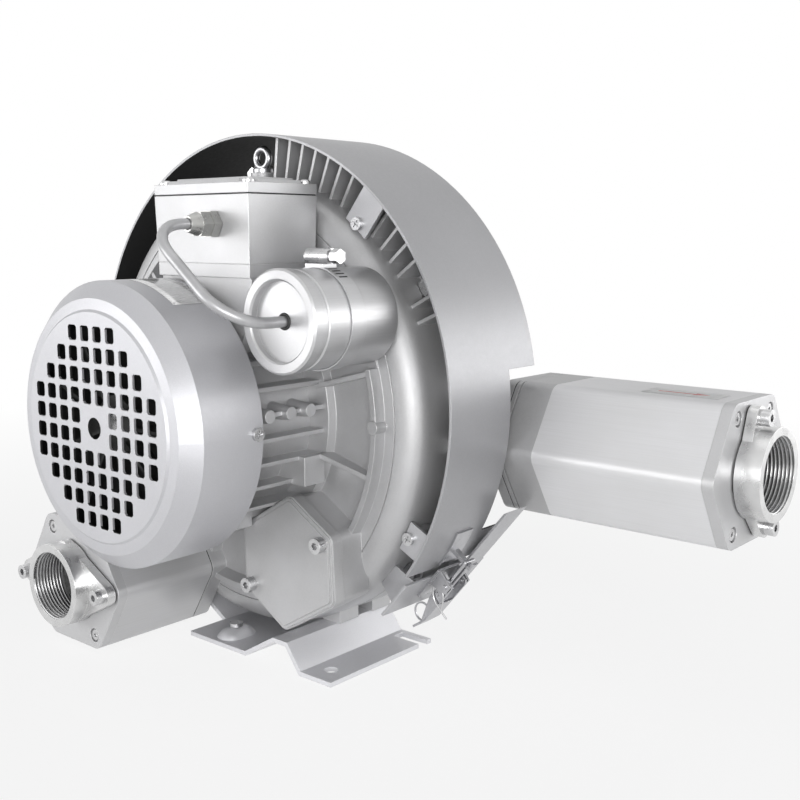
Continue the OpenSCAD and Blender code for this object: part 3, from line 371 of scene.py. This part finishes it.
def faces_inwards(f, centre, depth_axis=False):
    """1 where the surface looks at an axis that runs along Y through a centre, or back along that axis"""
    flat = f.node("ShaderNodeNewGeometry", out="Normal")
    here = f.node("ShaderNodeVectorMath", {0: f.where, 1: centre}, operation="SUBTRACT")
    across = f.node("ShaderNodeVectorMath", {0: here, 1: (1, 0, 1)}, operation="MULTIPLY")
    unit = f.node("ShaderNodeVectorMath", {0: across}, operation="NORMALIZE")
    facing = f.node("ShaderNodeVectorMath", {0: flat, 1: unit}, out="Value", operation="DOT_PRODUCT")
    inside = facing < looks_in
    if depth_axis:
        back = f.node("ShaderNodeVectorMath", {0: flat, 1: (0, 1, 0)}, out="Value", operation="DOT_PRODUCT")
        inside = (inside + (back > looks_back)).clamp()
    return inside

def sheet_paint(name, tone, rough=0.34, metal=0.78, blue=1.03, inside=None, deep=False):
    f = Finish(name, Metallic=metal)
    rounded, near_edge = f.edges(0.5 * mm)
    cloud, peel, fine = f.noise(14, 3), f.noise(420, 2), f.noise(1900, 2)
    shade = f.blend(f.ramp(cloud, 0.3, 0.7), grey(tone * 0.96, blue), grey(tone * 1.04, blue))
    shade = f.blend(f.ramp(fine, 0.4, 0.75) * 0.3, shade, grey(min(tone * 1.25, 0.9), blue))
    # Edges painted lighter: partly worn paint, partly a painted highlight
    shade = f.blend(near_edge * 0.6, shade, grey(min(tone * 1.6, 0.9)))
    dull = f.ramp(peel, 0.3, 0.7, rough - 0.03, rough + 0.05)
    if inside:
        # Painted shade: the inside of the band and the cowl is painted nearly black and made a little rougher
        inside_shade = faces_inwards(f, inside, deep)
        shade = f.blend(inside_shade * 0.97, shade, grey(0.012))
        dull = dull + inside_shade * 0.3
    return f.set(Base_Color=shade, Roughness=dull, Normal=f.bump(peel + fine * 0.4, 0.02 * mm, rounded))

band_centre = (4 * mm, 0, 169 * mm)
shaft_centre = (0, 0, 160 * mm)
band_paint = sheet_paint("band_sheet_paint", 0.40, rough=0.42, metal=0.5, inside=band_centre)
strip_paint = sheet_paint("strip_sheet_paint", 0.48, rough=0.36, metal=0.6)
cowl_paint = sheet_paint("cowl_sheet_paint", 0.55, rough=0.40, metal=0.42, blue=1.04, inside=shaft_centre, deep=True)
foot_paint = sheet_paint("foot_sheet_paint", 0.74, rough=0.38, metal=0.4)
dress(band_paint, "shroud_band")
dress(strip_paint, "band_brackets", "lower_band")
dress(cowl_paint, "fan_cowl")
dress(foot_paint, "foot")

# %% [markdown]
# ## Drawn and extruded alloy
# The muffler bodies are extruded tube and the capacitor is a drawn can. Both carry very fine lines along the
# way they were pulled, and broad soft highlights. Noise that is stretched a hundredfold along one axis gives
# such lines. Each body gets its own direction, since one lies along X and the other along Y.

# %% Satin alloy with drawn lines
def drawn_alloy(name, tone, along, rough=0.3, metal=0.86, depth=0.012 * mm):
    f = Finish(name, Metallic=metal)
    rounded, near_edge = f.edges(0.4 * mm)
    stretch = tuple(0.012 if axis == along else 1.0 for axis in "XYZ")
    lines = f.noise(1500, 3, f.placed(stretch=stretch), rough=0.7)
    cloud, fine = f.noise(18, 2), f.noise(1700, 2)
    shade = f.blend(f.ramp(cloud, 0.3, 0.7), grey(tone * 0.97, 1.01), grey(tone * 1.03, 1.02))
    shade = f.blend(f.ramp(lines, 0.4, 0.7) * 0.3, shade, grey(tone * 0.86))
    # Edges painted lighter: partly worn metal, partly a painted highlight
    shade = f.blend(near_edge * 0.5, shade, grey(min(tone * 1.35, 0.93)))
    return f.set(Base_Color=shade, Roughness=f.ramp(lines, 0.3, 0.7, rough - 0.03, rough + 0.06),
                 Normal=f.bump(lines + fine * 0.5, depth, rounded))

dress(drawn_alloy("outlet_tube_alloy", 0.78, "X", rough=0.36, metal=0.28), "outlet_muffler")
dress(drawn_alloy("intake_tube_alloy", 0.6, "Y", rough=0.36, metal=0.35), "intake_muffler")
dress(drawn_alloy("capacitor_alloy", 0.56, "Y", rough=0.34, metal=0.65), "capacitor_can", "capacitor_cap", "clamp_band")

# %% [markdown]
# ## Turned and plated metal
# The threaded collars and the impellers come off a lathe, which leaves rings about their axis. The screws, the latch
# and the gland are plated steel, brighter and more mirror-like. The rings are a sine of the distance from an
# axis, worked out with the socket arithmetic above.

# %% Turned rings and bright plate
def turned_alloy(name, tone, centre, axis, pitch=0.45 * mm, rough=0.24):
    f = Finish(name, Metallic=0.95)
    rounded, near_edge = f.edges(0.35 * mm)
    keep = tuple(0 if a == axis else 1 for a in "XYZ")
    here = f.node("ShaderNodeVectorMath", {0: f.where, 1: centre}, operation="SUBTRACT")
    flat = f.node("ShaderNodeVectorMath", {0: here, 1: keep}, operation="MULTIPLY")
    away = f.node("ShaderNodeVectorMath", {0: flat}, out="Value", operation="LENGTH")
    rings = (away * (2 * math.pi / pitch)).sine() * 0.5 + 0.5
    cloud = f.noise(120, 2)
    shade = f.blend(f.ramp(cloud, 0.3, 0.7), grey(tone * 0.94), grey(tone * 1.05))
    # Edges painted lighter: partly worn metal, partly a painted highlight
    shade = f.blend(near_edge * 0.4, shade, grey(min(tone * 1.3, 0.94)))
    return f.set(Base_Color=shade, Roughness=f.ramp(cloud, 0.3, 0.7, rough, rough + 0.1),
                 Normal=f.bump(rings, 0.006 * mm, rounded))

def bright_plate(name, tone, rough=0.2, blue=1.01):
    f = Finish(name, Metallic=1.0)
    rounded, near_edge = f.edges(0.3 * mm)
    smear, fine = f.noise(160, 3), f.noise(2400, 2)
    shade = f.blend(f.ramp(smear, 0.35, 0.7), grey(tone * 0.88, blue), grey(tone * 1.05, blue))
    # Edges painted lighter: partly worn plating, partly a painted highlight
    shade = f.blend(near_edge * 0.5, shade, grey(min(tone * 1.3, 0.95)))
    return f.set(Base_Color=shade, Roughness=f.ramp(smear, 0.3, 0.75, rough, rough + 0.14),
                 Normal=f.bump(fine, 0.006 * mm, rounded))

intake_axis = (-73 * mm, 0, 45 * mm)
outlet_axis = (0, 120 * mm, 139 * mm)
dress(turned_alloy("intake_collar_alloy", 0.66, intake_axis, "Y"), "intake_collar")
dress(turned_alloy("outlet_collar_alloy", 0.66, outlet_axis, "X"), "outlet_collar")
dress(turned_alloy("impeller_alloy", 0.6, shaft_centre, "Y"), "front_impeller", "rear_impeller", "impeller_spacer")
plate = bright_plate("zinc_plate", 0.62, 0.22)
dress(plate, "cowl_screws", "lid_screws", "band_screws", "flange_screws", "end_plate_screws", "housing_bolts",
      "foot_bolts", "clamp_screw", "impeller_nut")
dress(bright_plate("latch_plate", 0.5, 0.26, 1.03), "lifting_eye", "latch_base", "latch_lever", "latch_bail",
      "latch_keeper")
dress(bright_plate("gland_nickel", 0.46, 0.24, 0.97), "cable_gland", "gland_nut")
dress(bright_plate("ground_steel", 0.5, 0.16), "motor_shaft", "drive_bearing", "drive_bearing_inner",
      "fan_bearing", "fan_bearing_inner")

# %% [markdown]
# ## Dark parts and what is inside
# Behind the grille there is a black plastic fan in front of the end shield, which is painted nearly black as painted
# shade. Gaskets and seals are rubber, and the motor holds laminated iron with copper windings. Few of them can be
# seen, but a cut or a take-apart view shows them, so each gets a pattern rather than one flat colour.

# %% Rubber, plastic, foam, iron and copper
def matt_stuff(name, low, high, scale, rough, depth, metal=0.0):
    f = Finish(name, Metallic=metal)
    grain, fine = f.noise(scale, 3), f.noise(scale * 4, 2)
    shade = f.blend(f.ramp(grain, 0.3, 0.7), low, high)
    return f.set(Base_Color=shade, Roughness=f.ramp(fine, 0.3, 0.7, rough - 0.06, rough + 0.08),
                 Normal=f.bump(grain + fine * 0.5, depth))

def layered(name, low, high, pitch, axis, rough, metal, depth):
    """Thin layers or wires that repeat along one axis"""
    f = Finish(name, Metallic=metal)
    split = f.node("ShaderNodeSeparateXYZ", {0: f.where}, out=axis)
    wave = (split * (2 * math.pi / pitch)).sine() * 0.5 + 0.5
    wave = wave * 0.8 + f.noise(300, 2) * 0.2
    return f.set(Base_Color=f.blend(wave, low, high), Roughness=f.ramp(wave, 0, 1, rough + 0.12, rough),
                 Normal=f.bump(wave, depth))

dress(matt_stuff("seal_rubber", grey(0.018), grey(0.03), 900, 0.62, 0.02 * mm), "shaft_seals", "lid_gasket",
      "flange_gaskets")
dress(matt_stuff("fan_plastic", grey(0.014), grey(0.022), 700, 0.5, 0.02 * mm), "cooling_fan", "terminal_block",
      "capacitor_cell")
# Painted shade: the end shield behind the grille is painted nearly black
dress(matt_stuff("dark_shield_paint", grey(0.02), grey(0.032), 500, 0.6, 0.03 * mm), "fan_end_shield")
dress(matt_stuff("muffler_foam_cells", grey(0.09), grey(0.22), 650, 0.9, 0.5 * mm), "muffler_foam")
dress(layered("core_laminations", grey(0.1), grey(0.2), 0.5 * mm, 1, 0.42, 0.8, 0.03 * mm), "rotor_core",
      "stator_core")
dress(layered("copper_wire", (0.3, 0.1, 0.04, 1), (0.72, 0.32, 0.15, 1), 0.9 * mm, 1, 0.3, 0.9, 0.15 * mm),
      "stator_windings")

# %% [markdown]
# The cable has a smooth grey sheath. A curve has no Object pattern that follows it, but at this size a fine
# speckle and a slight waviness of the roughness are all that its plastic shows.

# %% Cable sheath
f = Finish("cable_sheath", Metallic=0.6, Coat_Weight=0.1)
speckle, soft_wave = f.noise(1500, 2), f.noise(90, 2)
f.set(Base_Color=f.blend(f.ramp(soft_wave, 0.3, 0.7), grey(0.42, 1.02), grey(0.5, 1.02)),
      Roughness=f.ramp(speckle, 0.3, 0.7, 0.34, 0.44), Normal=f.bump(speckle, 0.008 * mm))
line.materials.append(f.material)

# %% [markdown]
# ## Threads in the two ports
# Each port is tapped with a pipe thread, and the camera looks straight into both. A thread is a small ridge that
# follows a helix, which is a rule: so Geometry Nodes sweep a profile along a spiral. The tree takes the bore's
# radius, the pitch, the number of turns and the depth as inputs, and the result is kept as a plain mesh.

# %% Geometry trees become plain meshes
def new_tree(name, sizes):
    """A geometry tree with named number inputs"""
    tree = bpy.data.node_groups.new(name, "GeometryNodeTree")
    tree.interface.new_socket("Geometry", in_out="INPUT", socket_type="NodeSocketGeometry")
    for key, value in sizes.items():
        made = tree.interface.new_socket(key, in_out="INPUT", socket_type="NodeSocketFloat")
        made.default_value = value
    tree.interface.new_socket("Geometry", in_out="OUTPUT", socket_type="NodeSocketGeometry")
    net = Net(tree)
    entry = tree.nodes.new("NodeGroupInput")
    values = {key: Value(net, entry.outputs[key]) for key in sizes}
    values["Geometry"] = Value(net, entry.outputs["Geometry"])
    return net, values

def close_tree(net, shape, material):
    """Ends a tree in Realize Instances and Set Material"""
    real = net.node("GeometryNodeRealizeInstances", {0: shape})
    coated = net.node("GeometryNodeSetMaterial", {"Geometry": real, "Material": material})
    end = net.tree.nodes.new("NodeGroupOutput")
    net.tree.links.new(coated.socket, end.inputs[0])

def grown(name, tree, sizes, body, place):
    """Runs a tree on an empty mesh, keeps the result as a plain mesh and seats it on a body"""
    piece = bpy.data.objects.new(name, bpy.data.meshes.new(name))
    scene.collection.objects.link(piece)
    made = piece.modifiers.new("grow", "NODES")
    made.node_group = tree
    for item in tree.interface.items_tree:
        if item.item_type == "SOCKET" and item.in_out == "INPUT" and item.name in sizes:
            made[item.identifier] = float(sizes[item.name])
    seen = piece.evaluated_get(bpy.context.evaluated_depsgraph_get())
    mesh = bpy.data.meshes.new_from_object(seen)
    piece.modifiers.clear()
    mesh.transform(place)
    piece.data = mesh
    mesh.name = name
    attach(piece, body)
    print(name, len(mesh.polygons), "faces")

# %% Thread ridges
thread_metal = bright_plate("thread_alloy", 0.46, 0.28)
thread_count = 9
net, size = new_tree("thread_turns", {"Bore": 22.4 * mm, "Pitch": 2.3 * mm, "Turns": float(thread_count),
                                      "Depth": 0.8 * mm})
helix = net.node("GeometryNodeCurveSpiral", {"Resolution": 56, "Rotations": size["Turns"],
                                             "Start Radius": size["Bore"], "End Radius": size["Bore"],
                                             "Height": size["Turns"] * size["Pitch"]})
helix = net.node("GeometryNodeSetCurveNormal", {0: helix})
ridge = net.node("GeometryNodeCurvePrimitiveCircle", {"Resolution": 6, "Radius": size["Depth"]})
swept = net.node("GeometryNodeCurveToMesh", {"Curve": helix, "Profile Curve": ridge, "Fill Caps": True})
close_tree(net, swept, thread_metal)
thread_tree = net.tree

def port_thread(name, mouth, into):
    """Thread ridges that start at a mouth and run into a port"""
    aim = Vector(into).to_track_quat("Z", "Y").to_matrix().to_4x4()
    grown(name, thread_tree, {"Turns": thread_count}, "frame",
          Matrix.Translation(Vector(mouth) * mm) @ aim)

port_thread("intake_thread", (-73, -101, 45), (0, 1, 0))
port_thread("outlet_thread", (318, 120, 139), (-1, 0, 0))

# %% [markdown]
# ## Labels that lie on a surface
# A blank foil plate is stuck on the cowl and a white label with a plain red arrow on the outlet muffler shows the
# way of the air. A label is a thin skin that follows what it is stuck to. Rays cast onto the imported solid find
# that surface, and a grid of the points that they hit, lifted by a fraction of a millimetre, is the label.

# %% Seated meshes and skins cast onto a solid
def surface_of(name):
    mesh = solids[name].data
    return BVHTree.FromPolygons([v.co.copy() for v in mesh.vertices], [tuple(p.vertices) for p in mesh.polygons])

def settle(name, mesh, body, material):
    """Makes a mesh a piece: finish, smooth faces and body"""
    piece = bpy.data.objects.new(name, mesh)
    scene.collection.objects.link(piece)
    mesh.materials.clear()
    mesh.materials.append(material)
    mesh.shade_smooth()
    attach(piece, body)
    print(name, len(mesh.polygons), "faces")

label_lift, label_thick = 0.15 * mm, 0.12 * mm

def skin(name, solid, start, u_side, v_side, count, material, slot):
    """A label: a grid between two sides is cast down onto a solid and given a thin edge"""
    tree, look = surface_of(solid), Vector((0, 0, -1))
    start, u_side, v_side = (Vector(v) * mm for v in (start, u_side, v_side))
    columns, rows = count
    shape = bmesh.new()
    grid = []
    for j in range(rows + 1):
        for i in range(columns + 1):
            at = start + u_side * i / columns + v_side * j / rows
            hit, normal = tree.ray_cast(at, look)[:2]
            if normal.dot(look) > 0:
                normal = -normal
            grid.append(shape.verts.new(hit + normal * label_lift))
    for j in range(rows):
        for i in range(columns):
            a = j * (columns + 1) + i
            shape.faces.new([grid[k] for k in (a, a + 1, a + columns + 2, a + columns + 1)])
    shape.normal_update()
    if sum(face.normal.dot(look) for face in shape.faces) > 0:
        bmesh.ops.reverse_faces(shape, faces=shape.faces)
    rim = bmesh.ops.extrude_face_region(shape, geom=list(shape.faces))
    lifted = [v for v in rim["geom"] if isinstance(v, bmesh.types.BMVert)]
    bmesh.ops.translate(shape, verts=lifted, vec=-look * label_thick)
    bmesh.ops.recalc_face_normals(shape, faces=shape.faces)
    mesh = bpy.data.meshes.new(name)
    shape.to_mesh(mesh)
    shape.free()
    settle(name, mesh, "frame", material)

# %% Label finishes
f = Finish("foil_plate", Metallic=0.9)
brush = f.noise(900, 2, f.placed(stretch=(1, 0.03, 1)), rough=0.7)
f.set(Base_Color=f.blend(f.ramp(brush, 0.3, 0.7), grey(0.62), grey(0.74)),
      Roughness=f.ramp(brush, 0.3, 0.7, 0.2, 0.32), Normal=f.bump(brush, 0.006 * mm))
foil = f.material

f = Finish("arrow_label", Metallic=0.0)
neck, tip, tail, head_half, shaft_half = 6 * mm, 16 * mm, -17 * mm, 3.6 * mm, 1.3 * mm
x, y = (f.node("ShaderNodeSeparateXYZ", {0: f.placed(centre=(264 * mm, 112 * mm, 0))}, out=i) for i in (0, 1))
off_line = f.node("ShaderNodeMath", {0: y}, operation="ABSOLUTE")
head = (off_line < f.ramp(x, neck, tip, head_half, 0.0)) * (x > neck)
shaft_mark = (off_line < shaft_half) * (x < neck + 1 * mm) * (x > tail)
arrow = (head + shaft_mark).clamp()
paper_grain = f.noise(700, 2)
label_white = f.blend(f.ramp(paper_grain, 0.3, 0.7), grey(0.78), grey(0.86))
f.set(Base_Color=f.blend(arrow, label_white, (0.55, 0.03, 0.025, 1)),
      Roughness=f.ramp(paper_grain, 0.3, 0.7, 0.32, 0.42), Normal=f.bump(paper_grain, 0.004 * mm))
arrow_finish = f.material

skin("cowl_foil_plate", "fan_cowl", (4, -88, 300), (42, 0, 0), (0, 26, 0), (16, 4), foil, "can_alloy")
skin("outlet_arrow_label", "outlet_muffler", (240, 103, 200), (48, 0, 0), (0, 18, 0), (8, 12), arrow_finish,
     "silencer_alloy")

# %% [markdown]
# ## The perforated clamp strap
# The strap round the capacitor is a worm-drive clamp, and its worm bites into slots. A row of equal slots round a
# circle is a job for instances: a thin dark bar is placed on the points of a circle and turned to face outwards. Only
# the slots beside the worm, at the top of the strap, are kept, as in the photo. They are a hair thick and lie in the
# strap's surface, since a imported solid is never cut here.

# %% Clamp slots
worm_side, bar_thick = -23 * mm, 0.06 * mm
slot_dark = matt_stuff("slot_shadow", grey(0.015), grey(0.03), 900, 0.5, 0.01 * mm, 0.4)
net, size = new_tree("strap_slots", {"Radius": 29.62 * mm, "Slots": 60.0, "Width": 1.1 * mm, "Length": 6.5 * mm})
arc = net.node("GeometryNodeMeshCircle", {"Vertices": size["Slots"], "Radius": size["Radius"]})
spot = net.node("GeometryNodeInputPosition")
outward = net.node("FunctionNodeAlignRotationToVector", {"Vector": spot}, axis="X", pivot_axis="Z")
box_size = net.node("ShaderNodeCombineXYZ", {0: bar_thick, 1: size["Width"], 2: size["Length"]})
bar = net.node("GeometryNodeMeshCube", {"Size": box_size})
near_worm = net.node("ShaderNodeSeparateXYZ", {0: spot}, out=1) < worm_side
bars = net.node("GeometryNodeInstanceOnPoints", {"Points": arc, "Selection": near_worm, "Instance": bar,
                                                 "Rotation": outward})
close_tree(net, bars, slot_dark)
can_place = Matrix.Translation(Vector((112, -35.5, 226)) * mm)
grown("clamp_slots", net.tree, {}, "frame", can_place @ Matrix.Rotation(math.radians(-90), 4, "X"))

# %% [markdown]
# ## Small wire parts and the cable's grommet
# The latch is kept shut by a split pin whose two legs hang below the lever, and the cable passes a rubber ring where
# it enters the capacitor. Bent wire is easiest as a curve with a round bevel, which is then kept as a mesh. The
# ring is a small circle spun round an axis, which gives a closed shape with few faces.

# %% Bent wire and spun rings
def wire_piece(name, points, radius, body, material):
    """A bent wire through points in millimetres, kept as a mesh"""
    bend = bpy.data.curves.new(name, "CURVE")
    bend.dimensions, bend.bevel_depth, bend.bevel_resolution = "3D", radius, 2
    bend.resolution_u, bend.use_fill_caps = 5, True
    run = bend.splines.new("BEZIER")
    run.bezier_points.add(len(points) - 1)
    for point, at in zip(run.bezier_points, points):
        point.co = Vector(at) * mm
        point.handle_left_type = point.handle_right_type = "AUTO"
    draft = bpy.data.objects.new(name + "_line", bend)
    scene.collection.objects.link(draft)
    mesh = bpy.data.meshes.new_from_object(draft.evaluated_get(bpy.context.evaluated_depsgraph_get()))
    bpy.data.objects.remove(draft)
    settle(name, mesh, body, material)

def spun_ring(name, centre, radius, thick, body, material, steps=40, sides=10):
    """A round ring about an axis along Y, in millimetres"""
    shape = bmesh.new()
    loops = []
    for i in range(steps):
        a = 2 * math.pi * i / steps
        loop = []
        for k in range(sides):
            b = 2 * math.pi * k / sides
            out = radius + thick * math.cos(b)
            offset = Vector((out * math.cos(a), thick * math.sin(b), out * math.sin(a)))
            loop.append(shape.verts.new((Vector(centre) + offset) * mm))
        loops.append(loop)
    for i in range(steps):
        this, following = loops[i], loops[(i + 1) % steps]
        for k in range(sides):
            after = (k + 1) % sides
            shape.faces.new((this[k], this[after], following[after], following[k]))
    bmesh.ops.recalc_face_normals(shape, faces=shape.faces)
    mesh = bpy.data.meshes.new(name)
    shape.to_mesh(mesh)
    shape.free()
    settle(name, mesh, body, material)

# %% Grommet and split pin
rubber = matt_stuff("grommet_rubber", grey(0.02), grey(0.034), 900, 0.55, 0.01 * mm)
pin_wire = bright_plate("pin_wire", 0.62, 0.24)
spun_ring("cap_grommet", (112, -64.1, 226), 4.0, 0.9, "frame", rubber)
wire_piece("split_pin_long_leg", [(137.2, 36, 55.5), (136.6, 36, 51), (137.6, 36, 47), (141.5, 36, 42.5),
                                  (147.5, 36, 36.5)], 0.6 * mm, "lever", pin_wire)
wire_piece("split_pin_short_leg", [(143.6, 36, 55.5), (144.6, 36, 51), (144.2, 36, 46.5), (142.8, 36, 41.5)],
           0.6 * mm, "lever", pin_wire)
